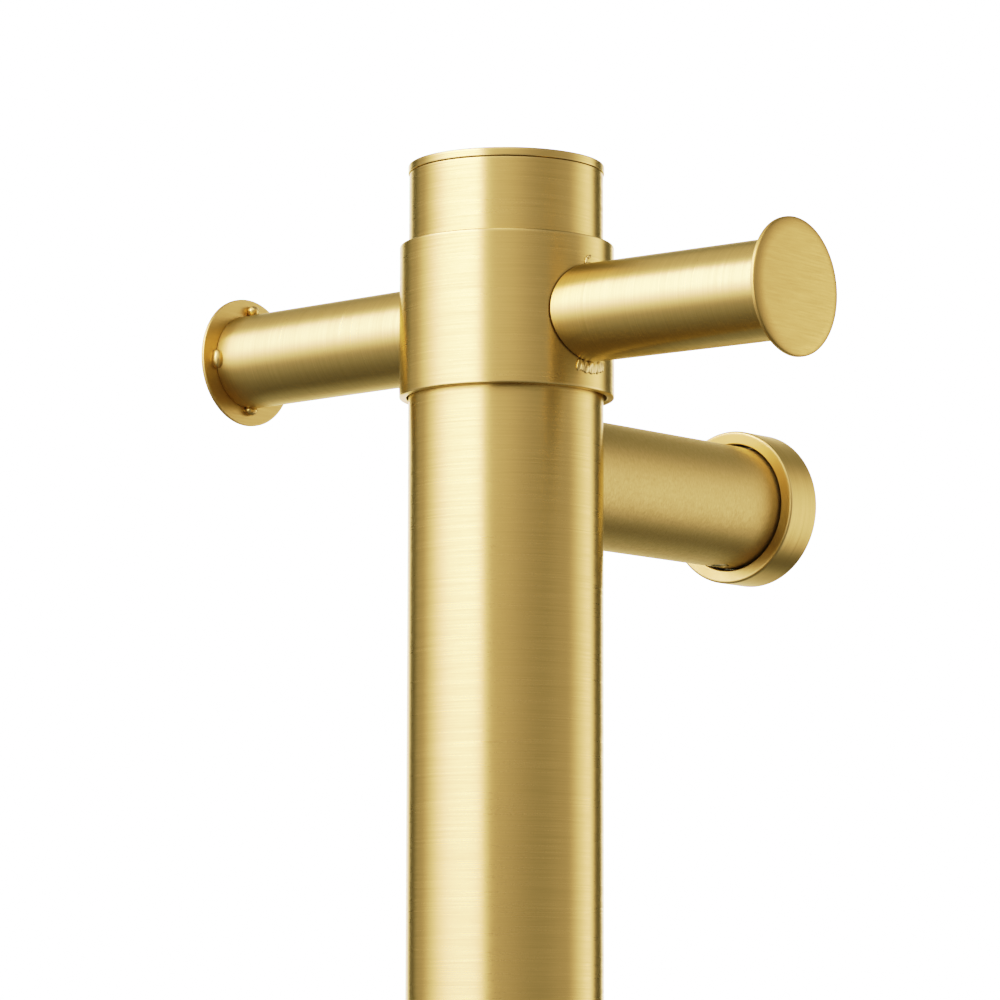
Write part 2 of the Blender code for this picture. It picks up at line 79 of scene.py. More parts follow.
CLEARANCE = 0.3 * MM  # round plugs, seals, rings and bands
COPE_LENGTH = 12 * MM  # the end of a tube that is fitted round another tube
CABLE_HOLE = 8 * MM  # radius of the hole through which the leads pass into the lower arm
SET_SCREW_HOLE = 2.5 * MM
SET_SCREW_RADIUS = 2.2 * MM
HEX_SOCKET_RADIUS = 1.3 * MM
HEX_SOCKET_DEPTH = 1.6 * MM
WELD_GRID = 0.1 * MM  # the mesh size of a weld's skin

# Colours, linear
GOLD = (0.71, 0.508, 0.213)
GOLD_DARK = (0.60, 0.428, 0.174)
GOLD_WORN = (0.74, 0.58, 0.3)
GOLD_GRAZED = (0.88, 0.88, 0.7)  # seen at a grazing angle
FACE_GOLD = (0.64, 0.44, 0.178)
FACE_GOLD_DARK = (0.57, 0.39, 0.152)
# Painted light: the pegs' gold is paler and less orange than the bar's, to offset the orange of the gold
# collar and bar reflected in them
PEG_GOLD_AGAINST_REFLECTION = (0.71, 0.527, 0.234)
PEG_GOLD_DARK_AGAINST_REFLECTION = (0.60, 0.443, 0.191)
# Painted light: the discs' backs, which face the peg and collar, are a little paler and less orange than
# their faces, to offset the gold of the peg and collar reflected in them
BACK_GOLD_AGAINST_REFLECTION = (0.63, 0.45, 0.192)
BACK_GOLD_DARK_AGAINST_REFLECTION = (0.56, 0.397, 0.164)
SATIN = (0.7, 0.518, 0.238)
SATIN_DARK = (0.58, 0.426, 0.183)
BARE_STEEL = (0.54, 0.56, 0.52)
BARE_STEEL_DARK = (0.39, 0.405, 0.37)
FLOOR = (0.85, 0.92, 0.745)  # shows as a neutral pale grey through the warm curves of make_tone
FLOOR_DARK = (0.83, 0.9, 0.73)
FLOOR_GLOW = (1.0, 0.72, 0.95)

# The camera, from the viewing angle of the photograph
CAMERA_TURN = radians(40.25)
CAMERA_PITCH = radians(7.36)
CAMERA_ROLL = radians(0.126)
CAMERA_DISTANCE = 0.8316
CAMERA_BELOW_TOP = 0.1734
CAMERA_SIDE = -0.0011
CAMERA_LENS = 155.1

LIGHT = 1.4
WHITE_LEVEL = 3.0  # the scene brightness that shows as pure white
TONE_GAIN = 1.02  # middle tones show a little brighter than they are
TOE_DEPTH = 0.6  # the deepest darks lose about this share
TOE_REACH = 0.055  # how fast that loss fades as the brightness grows
KNEE = 0.46  # the brightness from which highlights roll off
SHOULDER = 0.28  # what shows beyond the knee grows with the logarithm, this steeply
TONE_POINTS = 13
TONE_STEP = 1.5  # each point of the curve is brighter than the one before by this factor
FLOOR_BELOW = 0.15


# ---------------------------------------------------------------- shapes


def outline(corners, steps=ARC_STEPS):
    """Rounds the corners (radius, height, fillet) of a turned outline: points (radius, height, edge)."""
    points = []
    for i, (radius, height, fillet) in enumerate(corners):
        here = Vector((radius, height))
        if fillet == 0:
            points.append((radius, height, 0.0))
            continue
        before = (Vector(corners[i - 1][:2]) - here).normalized()
        after = (Vector(corners[(i + 1) % len(corners)][:2]) - here).normalized()
        half = acos(max(-1.0, min(1.0, before.dot(after)))) / 2
        start = here + before * (fillet / tan(half))
        end = here + after * (fillet / tan(half))
        centre = here + (before + after).normalized() * (fillet / sin(half))
        points.append((*(start + before * SUPPORT), 0.0))
        sweep = pi - 2 * half
        for step in range(steps + 1):
            a = sin(sweep * (1 - step / steps)) / sin(sweep)
            b = sin(sweep * step / steps) / sin(sweep)
            points.append((*(centre + (start - centre) * a + (end - centre) * b), 1.0))
        points.append((*(end + after * SUPPORT), 0.0))
    return points


def along(direction):
    """A turn that takes +Z to one of the frame's directions."""
    return Vector((0, 0, 1)).rotation_difference(Vector(direction)).to_matrix().to_4x4()


UP = (0, 0, 1)
DOWN = (0, 0, -1)
TO_BAR = (0, -1, 0)
TO_WALL = (0, 1, 0)
TO_LEFT = (-1, 0, 0)
TO_RIGHT = (1, 0, 0)


def turned_mesh(name, points, steps):
    """A closed outline of (radius, height, edge) points, turned round the Z axis."""
    bm = bmesh.new()
    edge_layer = bm.verts.layers.float.new("edge")
    rings = []
    for radius, height, edge in points:
        count = 1 if radius < 0.001 * MM else steps
        ring = []
        for i in range(count):
            angle = 2 * pi * i / count
            vertex = bm.verts.new((radius * cos(angle), radius * sin(angle), height))
            vertex[edge_layer] = edge
            ring.append(vertex)
        rings.append(ring)
    for low, high in zip(rings, rings[1:] + rings[:1]):
        if len(low) == 1 and len(high) == 1:
            continue
        for i in range(steps):
            j = (i + 1) % steps
            corners = [low[i % len(low)], low[j % len(low)], high[j % len(high)], high[i % len(high)]]
            bm.faces.new(list(dict.fromkeys(corners)))
    bmesh.ops.recalc_face_normals(bm, faces=bm.faces)
    mesh = bpy.data.meshes.new(name)
    bm.to_mesh(mesh)
    bm.free()
    return mesh


def smooth(mesh, angle=35):
    mesh.shade_smooth()
    mesh.set_sharp_from_angle(angle=radians(angle))


def place(mesh, origin, direction):
    """Puts a mesh that was turned round +Z where it belongs in the frame."""
    mesh.transform(Matrix.Translation(origin) @ along(direction))


def piece(name, mesh, material, body, nodes=()):
    obj = bpy.data.objects.new(name, mesh)
    bpy.context.scene.collection.objects.link(obj)
    mesh.materials.append(material)
    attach(obj, body)
    if nodes:
        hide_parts(*nodes)
    return obj


def carve(mesh, cutter_mesh):
    """Takes one mesh out of another."""
    work = bpy.data.objects.new("work", mesh)
    cutter = bpy.data.objects.new("cutter", cutter_mesh)
    for obj in (work, cutter):
        bpy.context.scene.collection.objects.link(obj)
    boolean = work.modifiers.new("carve", "BOOLEAN")
    boolean.operation = "DIFFERENCE"
    boolean.solver = "EXACT"
    boolean.object = cutter
    graph = bpy.context.evaluated_depsgraph_get()
    result = bpy.data.meshes.new_from_object(work.evaluated_get(graph), depsgraph=graph)
    for obj in (work, cutter):
        bpy.data.objects.remove(obj)
    return result


def rod(radius, low, high, steps=SMALL):
    points = [(0, low, 0), (radius, low, 0), (radius, high, 0), (0, high, 0)]
    return turned_mesh("rod", points, steps)


def drilled(mesh, radius, low, high, origin, direction, steps=SMALL):
    """A round hole from one distance along the direction to another."""
    cutter = rod(radius, low, high, steps)
    place(cutter, origin, direction)
    return carve(mesh, cutter)


# ---------------------------------------------------------------- places from the frame


def middle(node):
    low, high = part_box(node)
    return (Vector(low) + Vector(high)) / 2


def size(node):
    low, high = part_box(node)
    return Vector(high) - Vector(low)


BAR = middle("bar_tube")
BAR_RADIUS = size("bar_tube").x / 2
BAR_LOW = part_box("bar_tube")[0][2]
BAR_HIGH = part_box("bar_tube")[1][2]
BAR_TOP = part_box("top_cap")[1][2]
BAR_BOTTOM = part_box("bottom_cap")[0][2]
ARM_RADIUS = size("upper_arm").x / 2
ARM_START = -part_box("upper_arm")[1][1]
PEG_AXIS = middle("right_peg_disc").z
PEG_RADIUS = size("right_peg").z / 2
SET_SCREW_FROM_WALL = -middle("upper_arm_grub_screw").y


def on_bar(height):
    return Vector((BAR.x, BAR.y, height))


def droop(mesh, sign):
    """Tips a piece of the right (1) or left (-1) peg, which sinks towards its end."""
    root = on_bar(PEG_AXIS)
    turn = Matrix.Rotation(sign * PEG_DROOP, 4, "Y")
    lifted = root + Vector((0, 0, PEG_LIFT))
    mesh.transform(Matrix.Translation(lifted) @ turn @ Matrix.Translation(-root))


# ---------------------------------------------------------------- materials


class Nodes:
    """Short names for the nodes that the materials and the world share."""

    def __init__(self, tree):
        self.tree = tree

    def add(self, kind, **values):
        node = self.tree.nodes.new(kind)
        for name, value in values.items():
            setattr(node, name, value)
        return node

    def link(self, source, target):
        self.tree.links.new(source, target)

    def feed(self, socket, value):
        if isinstance(value, (int, float)):
            socket.default_value = value
        elif isinstance(value, tuple):
            socket.default_value = (*value, 1)[: len(socket.default_value)]
        else:
            self.link(value, socket)

    def math(self, operation, *values):
        node = self.add("ShaderNodeMath", operation=operation)
        for socket, value in zip(node.inputs, values):
            self.feed(socket, value)
        return node.outputs[0]

    def ramp(self, value, start, end, low=0.0, high=1.0, kind="SMOOTHSTEP"):
        """low where the value is at start or before it, high at end or after it."""
        node = self.add("ShaderNodeMapRange", interpolation_type=kind)
        for socket, given in zip(node.inputs, (value, start, end, low, high)):
            self.feed(socket, given)
        return node.outputs[0]

    def mix(self, factor, a, b):
        node = self.add("ShaderNodeMix", data_type="RGBA")
        self.feed(node.inputs["Factor"], factor)
        self.feed(node.inputs[6], a)
        self.feed(node.inputs[7], b)
        return node.outputs[2]

    def noise(self, coordinates, scale, detail=3.0, roughness=0.55):
        """Noise over coordinates stretched by a scale for each axis, in cycles per metre."""
        mapping = self.add("ShaderNodeMapping")
        self.link(coordinates, mapping.inputs["Vector"])
        mapping.inputs["Scale"].default_value = scale
        node = self.add("ShaderNodeTexNoise")
        self.link(mapping.outputs[0], node.inputs["Vector"])
        node.inputs["Scale"].default_value = 1.0
        node.inputs["Detail"].default_value = detail
        node.inputs["Roughness"].default_value = roughness
        return node.outputs[0]


def new_material(name):
    material = bpy.data.materials.new(name)
    material.use_nodes = True
    return Nodes(material.node_tree), material.node_tree.nodes["Principled BSDF"], material


def grain_scale(axis, around, lengthwise):
    """Scratches run round the axis: many cycles along it, few round it."""
    return tuple(lengthwise if letter == axis else around for letter in "XYZ")


def brushed(name, axis, light, dark, roughness, anisotropy, fine, wide, grain=1.0):
    """Metal with fine scratches round an axis. fine and wide are the scales of its grain."""
    nodes, shader, material = new_material(name)
    place_in_object = nodes.add("ShaderNodeTexCoord").outputs["Object"]
    fine = nodes.noise(place_in_object, fine, 4.0, 0.65)
    wide = nodes.noise(place_in_object, wide, 2.0)
    cloud = nodes.noise(place_in_object, (38.0, 38.0, 38.0), 3.0)
    pits = nodes.noise(place_in_object, (1500.0, 1500.0, 1500.0), 2.0)
    edge = nodes.add("ShaderNodeAttribute", attribute_name="edge").outputs["Fac"]

    streak = nodes.math("ADD", nodes.math("MULTIPLY", fine, 0.88), nodes.math("MULTIPLY", wide, 0.12))
    streak = nodes.ramp(streak, 0.3, 0.7, kind="LINEAR")
    tone = nodes.math("ADD", nodes.math("MULTIPLY", streak, grain), nodes.math("MULTIPLY", cloud, 0.4))
    tone = nodes.math("ADD", tone, 0.3 - grain / 2)
    colour = nodes.mix(tone, dark, light)
    colour = nodes.mix(nodes.math("MULTIPLY", edge, 0.35), colour, GOLD_WORN)
    nodes.link(colour, shader.inputs["Base Color"])

    rough = nodes.ramp(streak, 0.0, 1.0, roughness * 1.16, roughness * 0.86, kind="LINEAR")
    rough = nodes.math("ADD", rough, nodes.math("MULTIPLY", nodes.math("SUBTRACT", pits, 0.5), 0.06))
    rough = nodes.math("ADD", rough, nodes.math("MULTIPLY", nodes.math("SUBTRACT", cloud, 0.5), 0.06))
    nodes.link(rough, shader.inputs["Roughness"])

    bump = nodes.add("ShaderNodeBump")
    bump.inputs["Strength"].default_value = 0.1 * grain
    bump.inputs["Distance"].default_value = 0.01 * MM
    nodes.link(streak, bump.inputs["Height"])
    nodes.link(bump.outputs[0], shader.inputs["Normal"])

    shader.inputs["Metallic"].default_value = 1.0
    shader.inputs["Specular Tint"].default_value = (*GOLD_GRAZED, 1)
    shader.inputs["Anisotropic"].default_value = anisotropy
    if anisotropy:
        shader.inputs["Anisotropic Rotation"].default_value = 0.25
        tangent = nodes.add("ShaderNodeTangent", direction_type="RADIAL", axis=axis).outputs[0]
        nodes.link(tangent, shader.inputs["Tangent"])
        # Each scratch turns the surface a little sideways, so reflections have ragged edges.
        sway = nodes.add("ShaderNodeVectorMath", operation="SCALE")
        nodes.link(tangent, sway.inputs[0])
        amount = nodes.math("MULTIPLY", nodes.math("SUBTRACT", streak, 0.5), 0.03 * grain)
        nodes.link(amount, sway.inputs["Scale"])
        turned = nodes.add("ShaderNodeVectorMath", operation="ADD")
        nodes.link(nodes.add("ShaderNodeNewGeometry").outputs["Normal"], turned.inputs[0])
        nodes.link(sway.outputs[0], turned.inputs[1])
        unit = nodes.add("ShaderNodeVectorMath", operation="NORMALIZE")
        nodes.link(turned.outputs[0], unit.inputs[0])
        nodes.link(unit.outputs[0], bump.inputs["Normal"])
    return material


def plain(name, light, dark, roughness, metallic=0.0, scale=600.0, bump_height=0.02 * MM):
    """A moulded, rubber or bare metal surface with mottled colour and a fine texture."""
    nodes, shader, material = new_material(name)
    place_in_object = nodes.add("ShaderNodeTexCoord").outputs["Object"]
    cloud = nodes.noise(place_in_object, (scale / 8,) * 3, 3.0)
    fine = nodes.noise(place_in_object, (scale * 3,) * 3, 4.0)
    nodes.link(nodes.mix(nodes.ramp(cloud, 0.3, 0.7), dark, light), shader.inputs["Base Color"])
    rough = nodes.ramp(fine, 0.25, 0.75, roughness * 1.15, roughness * 0.85, kind="LINEAR")
    nodes.link(rough, shader.inputs["Roughness"])
    bump = nodes.add("ShaderNodeBump")
    bump.inputs["Strength"].default_value = 0.3
    bump.inputs["Distance"].default_value = bump_height
    nodes.link(fine, bump.inputs["Height"])
    nodes.link(bump.outputs[0], shader.inputs["Normal"])
    shader.inputs["Metallic"].default_value = metallic
    return material


def brushed_gold(name, axis, roughness, anisotropy, light=GOLD, dark=GOLD_DARK):
    fine = grain_scale(axis, 48.0, 4000.0)
    wide = grain_scale(axis, 24.0, 900.0)
    return brushed(name, axis, light, dark, roughness, anisotropy, fine, wide)


def flat_gold(name, light, dark):
    """The straight brushing of discs and caps."""
    return brushed(name, "X", light, dark, 0.4, 0.0, (3400, 140, 3400), (900, 90, 900), 0.5)


GOLD_Z = brushed_gold("brushed_gold_z", "Z", 0.30, 0.85)
# The pegs' copy of the gold, painted paler to offset the reflected gold of the collar and bar
GOLD_X_AGAINST_REFLECTION = brushed_gold("brushed_gold_x_against_reflection", "X", 0.32, 0.84, PEG_GOLD_AGAINST_REFLECTION, PEG_GOLD_DARK_AGAINST_REFLECTION)
GOLD_Y = brushed_gold("brushed_gold_y", "Y", 0.34, 0.60)
GOLD_FACE = flat_gold("brushed_gold_face", FACE_GOLD, FACE_GOLD_DARK)
# The copy of the disc gold for the backs, painted paler to offset the reflected gold of the peg and collar
GOLD_BACK_AGAINST_REFLECTION = flat_gold("brushed_gold_back_against_reflection", BACK_GOLD_AGAINST_REFLECTION, BACK_GOLD_DARK_AGAINST_REFLECTION)
SATIN_Y = brushed(
    "satin_gold_y", "Y", SATIN, SATIN_DARK, 0.46, 0.35, (1200, 3000, 1200), (300, 700, 300), 0.8
)
WELD_GOLD = plain("weld_gold", GOLD_WORN, GOLD, 0.38, 1.0, 900.0)
STEEL = plain("bare_steel", BARE_STEEL, BARE_STEEL_DARK, 0.34, 1.0)
RUBBER = plain("black_rubber", (0.022, 0.022, 0.023), (0.012, 0.012, 0.012), 0.72)


# ---------------------------------------------------------------- pieces


def make_bar():
    inner = BAR_RADIUS - BAR_WALL
    corners = [
        (inner, BAR_LOW, 0),
        (BAR_RADIUS, BAR_LOW, 0.15 * MM),
        (BAR_RADIUS, BAR_HIGH, 0.15 * MM),
        (inner, BAR_HIGH, 0),
    ]
    mesh = turned_mesh("bar", outline(corners), FINE)
    place(mesh, on_bar(0), UP)
    lower_arm = Vector((BAR.x, BAR.y, middle("lower_arm").z))
    mesh = drilled(mesh, CABLE_HOLE, 10 * MM, 25 * MM, lower_arm, TO_WALL)
    smooth(mesh)
    piece("bar", mesh, GOLD_Z, "rail", ["bar_tube"])


def make_cap(side, height, direction):
    """A thin brushed disc with a plug that stands in the bar."""
    radius = size(side + "_cap").x / 2
    plug = BAR_RADIUS - BAR_WALL - CLEARANCE
    low = -size(side + "_cap").z
    seal_middle = abs(middle(side + "_cap_seal").z - height)
    seal_half = size(side + "_cap_seal").z / 2 + CLEARANCE
    groove = plug - SEAL_GROOVE_DEPTH
    corners = [
        (0, low, 0),
        (plug, low, 0.3 * MM),
        (plug, -seal_middle - seal_half, 0),
        (groove, -seal_middle - seal_half, 0),
        (groove, -seal_middle + seal_half, 0),
        (plug, -seal_middle + seal_half, 0),
        (plug, -CAP_RIM, 0),
        (radius, -CAP_RIM, 0.12 * MM),
        (radius, 0, 0.25 * MM),
        (0, 0, 0),
    ]
    mesh = turned_mesh(side + "_end_cap", outline(corners), FINE)
    place(mesh, on_bar(height), direction)
    smooth(mesh)
    piece(side + "_end_cap", mesh, GOLD_Z, "rail", [side + "_cap"])
    mesh.materials.append(GOLD_FACE)
    for polygon in mesh.polygons:
        if abs(polygon.normal.z) > 0.99:
            polygon.material_index = 1


def cope(mesh, start, end, centre, radius, across):
    """Fits the end of a tube round a cylinder that crosses it."""
    for vertex in mesh.vertices:
        share = (vertex.co.z - start) / (end - start)
        if share > 0:
            reach = sqrt(radius**2 - vertex.co[across] ** 2)
            target = centre - reach if centre > end else centre + reach
            vertex.co.z += share * (target - end)


def make_arm(side):
    height = middle(side + "_arm").z
    wall = Vector((0, 0, height))
    bar_distance = -BAR.y
    end = bar_distance - BAR_RADIUS
    inner = ARM_RADIUS - ARM_WALL
    corners = [
        (inner, ARM_START, 0),
        (ARM_RADIUS, ARM_START, 0.2 * MM),
        (ARM_RADIUS, end - COPE_LENGTH, 0),
        (ARM_RADIUS, end, 0),
        (inner, end, 0),
        (inner, end - COPE_LENGTH, 0),
    ]
    mesh = turned_mesh(side + "_wall_arm", outline(corners), FINE)
    cope(mesh, end - COPE_LENGTH, end, bar_distance, BAR_RADIUS + SEAM, 0)
    place(mesh, wall, TO_BAR)
    screw = Vector((0, -SET_SCREW_FROM_WALL, height))
    mesh = drilled(mesh, SET_SCREW_HOLE, 8 * MM, 16 * MM, screw, DOWN)
    smooth(mesh)
    piece(side + "_wall_arm", mesh, SATIN_Y, "rail", [side + "_arm"])


def make_rosette(side):
    node = side + "_rosette"
    height = middle(node).z
    radius = size(node).x / 2
    front = -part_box(node)[0][1]
    back = -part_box(node)[1][1]
    bore = ARM_RADIUS + ROSETTE_BORE_GAP
    recess = radius - ROSETTE_RECESS_WALL
    ring = -middle(node + "_ring").y
    groove_half = size(node + "_ring").y / 2 + CLEARANCE
    groove = bore + RING_GROOVE_DEPTH
    step = back + ROSETTE_RECESS_DEPTH
    corners = [
        (recess, back, 0),
        (radius, back, 0.25 * MM),
        (radius, front, 0.5 * MM),
        (bore, front, 0.25 * MM),
        (bore, ring + groove_half, 0),
        (groove, ring + groove_half, 0),
        (groove, ring - groove_half, 0),
        (bore, ring - groove_half, 0),
        (bore, step, 0),
        (recess, step, 0),
    ]
    mesh = turned_mesh(side + "_wall_rosette", outline(corners, 8), FINE)
    place(mesh, Vector((0, 0, height)), TO_BAR)
    smooth(mesh)
    piece(side + "_wall_rosette", mesh, GOLD_Y, node, [node])


def make_collar():
    low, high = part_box("hook_collar")
    radius = size("hook_collar").x / 2
    half = (high[2] - low[2]) / 2
    centre = middle("hook_collar").z
    corners = [
        (COLLAR_BORE, -half, 0.2 * MM),
        (radius, -half, 0.3 * MM),
        (radius, half, 0.3 * MM),
        (COLLAR_BORE, half, 0.2 * MM),
    ]
    for node in ("collar_band_upper", "collar_band_lower"):
        band = middle(node).z - centre
        reach = size(node).z / 2 + CLEARANCE
        groove = size(node).x / 2 + CLEARANCE
        corners += [
            (COLLAR_BORE, band + reach, 0),
            (groove, band + reach, 0),
            (groove, band - reach, 0),
            (COLLAR_BORE, band - reach, 0),
        ]
    mesh = turned_mesh("hook_sleeve", outline(corners), FINE)
    place(mesh, on_bar(centre) + Vector((0, COLLAR_SAG, 0)), UP)
    mesh = drilled(mesh, SET_SCREW_HOLE, 15 * MM, 25 * MM, on_bar(centre), TO_WALL)
    smooth(mesh)
    piece("hook_sleeve", mesh, GOLD_Z, "hook", ["hook_collar"])


def make_peg(side, direction):
    collar = size("hook_collar").x / 2
    disc_low, disc_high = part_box(side + "_peg_disc")
    reach = max(abs(disc_low[0]), abs(disc_high[0]))
    thickness = size(side + "_peg_disc").x
    disc_radius = size(side + "_peg_disc").y / 2
    back = reach - thickness
    inner = PEG_RADIUS - PEG_WALL
    end = back - SEAM
    corners = [
        (inner, collar, 0),
        (PEG_RADIUS, collar, 0),
        (PEG_RADIUS, collar + COPE_LENGTH, 0),
        (PEG_RADIUS, end, 0.12 * MM),
        (inner, end, 0),
        (inner, collar + COPE_LENGTH, 0),
    ]
    mesh = turned_mesh(side + "_hook_peg", outline(corners), MEDIUM)
    cope(mesh, collar + COPE_LENGTH, collar, 0, collar + PEG_SEAM, 1)
    place(mesh, on_bar(PEG_AXIS), direction)
    droop(mesh, direction[0])
    smooth(mesh)
    piece(side + "_hook_peg", mesh, GOLD_X_AGAINST_REFLECTION, "hook", [side + "_peg"])

    # The disc: a flat back, a soft elliptical edge and a slightly domed face
    corners = [(0, back, 0), (disc_radius, back, 0.12 * MM)]
    for step in range(17):
        angle = pi / 2 * step / 16
        radius = disc_radius - DISC_EDGE_WIDTH * (1 - cos(angle))
        drop = DISC_DOME * (radius / disc_radius) ** 2 + DISC_EDGE_DEPTH * (1 - sin(angle))
        corners.append((radius, reach - drop, 0))
    for share in (0.66, 0.5, 0.33, 0.16, 0):
        corners.append((disc_radius * share, reach - DISC_DOME * share**2, 0))
    mesh = turned_mesh(side + "_hook_disc", outline(corners), FINE)
    place(mesh, on_bar(PEG_AXIS), direction)
    droop(mesh, direction[0])
    smooth(mesh)
    piece(side + "_hook_disc", mesh, GOLD_FACE, "hook", [side + "_peg_disc"])
    # The backs that face the bar get the copy of the gold painted paler against reflected gold
    mesh.materials.append(GOLD_BACK_AGAINST_REFLECTION)
    for polygon in mesh.polygons:
        if polygon.normal.x * direction[0] < -0.99:
            polygon.material_index = 1


def make_set_screw(name, node, origin, direction, body):
    """A socket set screw, its tip towards the origin."""
    low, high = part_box(node)
    facing = Vector(direction)
    ends = sorted(abs((Vector(corner) - origin).dot(facing)) for corner in (low, high))
    corners = [
        (0, ends[0], 0),
        (SET_SCREW_RADIUS * 0.6, ends[0], 0),
        (SET_SCREW_RADIUS, ends[0] + 0.5 * MM, 0.05 * MM),
        (SET_SCREW_RADIUS, ends[1], 0.25 * MM),
        (0, ends[1], 0),
    ]
    mesh = turned_mesh(name, outline(corners), SMALL)
    mesh = carve(mesh, rod(HEX_SOCKET_RADIUS, ends[1] - HEX_SOCKET_DEPTH, ends[1] + 1 * MM, 6))
    place(mesh, origin, direction)
    smooth(mesh)
    piece(name, mesh, STEEL, body, [node])


def make_bead(name, beads, ragged):
    """A weld of overlapping blobs with an uneven skin. Each bead is (centre, axes, half sizes)."""
    bm = bmesh.new()
    for centre, axes, sizes in beads:
        turn = Matrix([Vector(axis).normalized() for axis in axes]).transposed()
        made = bmesh.ops.create_icosphere(bm, subdivisions=4, radius=1)
        for vertex in made["verts"]:
            at = vertex.co.copy()
            swell = 1 + ragged * noise.noise(at * 1.7 + centre * 900)
            swell += 0.35 * ragged * noise.noise(at * 3.6 + centre * 1700)
            vertex.co = turn @ Vector(at[i] * sizes[i] * swell for i in range(3)) + centre
    mesh = bpy.data.meshes.new(name)
    bm.to_mesh(mesh)
    bm.free()
    if len(beads) > 1:
        mesh = merged(mesh)
    mesh.shade_smooth()
    piece(name, mesh, WELD_GOLD, "hook")


def merged(mesh):
    """Joins the blobs of a weld into one skin."""
    work = bpy.data.objects.new("work", mesh)
    bpy.context.scene.collection.objects.link(work)
    remesh = work.modifiers.new("remesh", "REMESH")
    remesh.mode = "VOXEL"
    remesh.voxel_size = WELD_GRID
    melt = work.modifiers.new("melt", "SMOOTH")
    melt.factor = 0.5
    melt.iterations = 5
    graph = bpy.context.evaluated_depsgraph_get()
    result = bpy.data.meshes.new_from_object(work.evaluated_get(graph), depsgraph=graph)
    bpy.data.objects.remove(work)
    return result


def round_peg(angle, radius, reach):
    """A point beside a peg, the angle measured from its front towards its top, and its directions."""
    outward = Vector((0, -cos(radians(angle)), sin(radians(angle))))
    centre = on_bar(PEG_AXIS) + Vector((reach, 0, 0)) + outward * radius
    return centre, (Vector((1, 0, 0)).cross(outward), outward, (1, 0, 0))


def at_root(angle, sign, lift=0.0):
    """A point on the seam between a peg and the collar."""
    radius = PEG_RADIUS + lift
    collar = size("hook_collar").x / 2
    reach = sqrt(collar**2 - (radius * cos(radians(angle))) ** 2)
    return round_peg(angle, radius, sign * reach)


def make_welds():
    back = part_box("right_peg_disc")[0][0]
    for side, sign in (("left", -1), ("right", 1)):
        # Four short beads hold the disc to the peg: (angle, how far out, half length, half width)
        tacks = ((-5, 0.35, 1.95, 1.05), (94, 0.8, 1.35, 1.1), (182, 0.35, 1.8, 1.0), (268, 0.9, 1.5, 1.0))
        for number, (angle, lift, length, width) in enumerate(tacks, 1):
            centre, axes = round_peg(angle, PEG_RADIUS + lift * MM, sign * (back - 0.6 * MM))
            sizes = (length * MM, width * MM, 1.25 * MM)
            make_bead(f"{side}_disc_tack_{number}", [(centre, axes, sizes)], 0.05)
        # A thin curl of weld on top of the root, and a ridged patch below it
        curl = [
            (*at_root(93, sign, 0.1 * MM), (1.3 * MM, 0.35 * MM, 0.35 * MM)),
            (*at_root(84, sign, 0.4 * MM), (0.32 * MM, 0.6 * MM, 0.4 * MM)),
            (*at_root(85, sign, 0.9 * MM), (0.3 * MM, 0.5 * MM, 0.4 * MM)),
            (*at_root(88, sign, 1.35 * MM), (0.34 * MM, 0.42 * MM, 0.38 * MM)),
            (*at_root(91, sign, 1.6 * MM), (0.36 * MM, 0.3 * MM, 0.34 * MM)),
        ]
        make_bead(side + "_root_tack", curl, 0.1)
        patch = []
        for i in range(12):
            lift = 1.1 + 0.2 * sin(2.4 * i)
            length = 1.2 + 0.25 * sin(3.8 * i + 1)
            sizes = ((0.7 + 0.2 * sin(2.9 * i)) * MM, length * MM, (0.36 + 0.08 * sin(5.1 * i)) * MM)
            patch.append((*at_root(-75 - 3.4 * i, sign, lift * MM), sizes))
        make_bead(side + "_root_patch", patch, 0.2)


def make_set_screws():
    for side in ("upper", "lower"):
        origin = Vector((0, -SET_SCREW_FROM_WALL, middle(side + "_arm").z))
        name = side + "_arm_grub_screw"
        make_set_screw(side + "_arm_set_screw", name, origin, DOWN, "rail")
    make_set_screw(
        "collar_set_screw",
        "collar_grub_screw",
        on_bar(middle("collar_grub_screw").z),
        TO_WALL,
        "hook",
    )


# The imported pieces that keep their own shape: (material, nodes)
KEPT_PIECES = (
    (RUBBER, ("top_cap_seal", "bottom_cap_seal", "upper_rosette_ring", "lower_rosette_ring")),
    (STEEL, ("upper_wall_bracket", "lower_wall_bracket", "earth_screw", "thermal_cutout")),
    (STEEL, tuple(f"terminal_screw_{i}" for i in range(1, 7))),
    (
        plain("clear_nylon", (0.72, 0.69, 0.6), (0.62, 0.58, 0.48), 0.42),
        ("collar_band_upper", "collar_band_lower"),
    ),
    (plain("cable_silicone", (0.45, 0.09, 0.045), (0.33, 0.06, 0.03), 0.5), ("heating_cable",)),
    (
        plain("pale_plastic", (0.8, 0.78, 0.72), (0.68, 0.66, 0.6), 0.48),
        (
            "element_spacer_1",
            "element_spacer_2",
            "element_spacer_3",
            "splice_sleeve_live",
            "splice_sleeve_neutral",
            "terminal_block",
        ),
    ),
    (plain("brown_insulation", (0.14, 0.06, 0.025), (0.09, 0.04, 0.015), 0.45), ("live_lead",)),
    (plain("blue_insulation", (0.03, 0.11, 0.45), (0.02, 0.07, 0.32), 0.45), ("neutral_lead",)),
    (plain("green_insulation", (0.2, 0.42, 0.04), (0.42, 0.4, 0.03), 0.45), ("earth_lead",)),
    (plain("tinned_copper", (0.7, 0.66, 0.6), (0.5, 0.44, 0.38), 0.3, 1.0), ("earth_lug",)),
)


def finish_kept_pieces():
    for material, names in KEPT_PIECES:
        for name in names:
            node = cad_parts[name]
            node.data.materials.clear()
            node.data.materials.append(material)


# ---------------------------------------------------------------- stage, light and camera


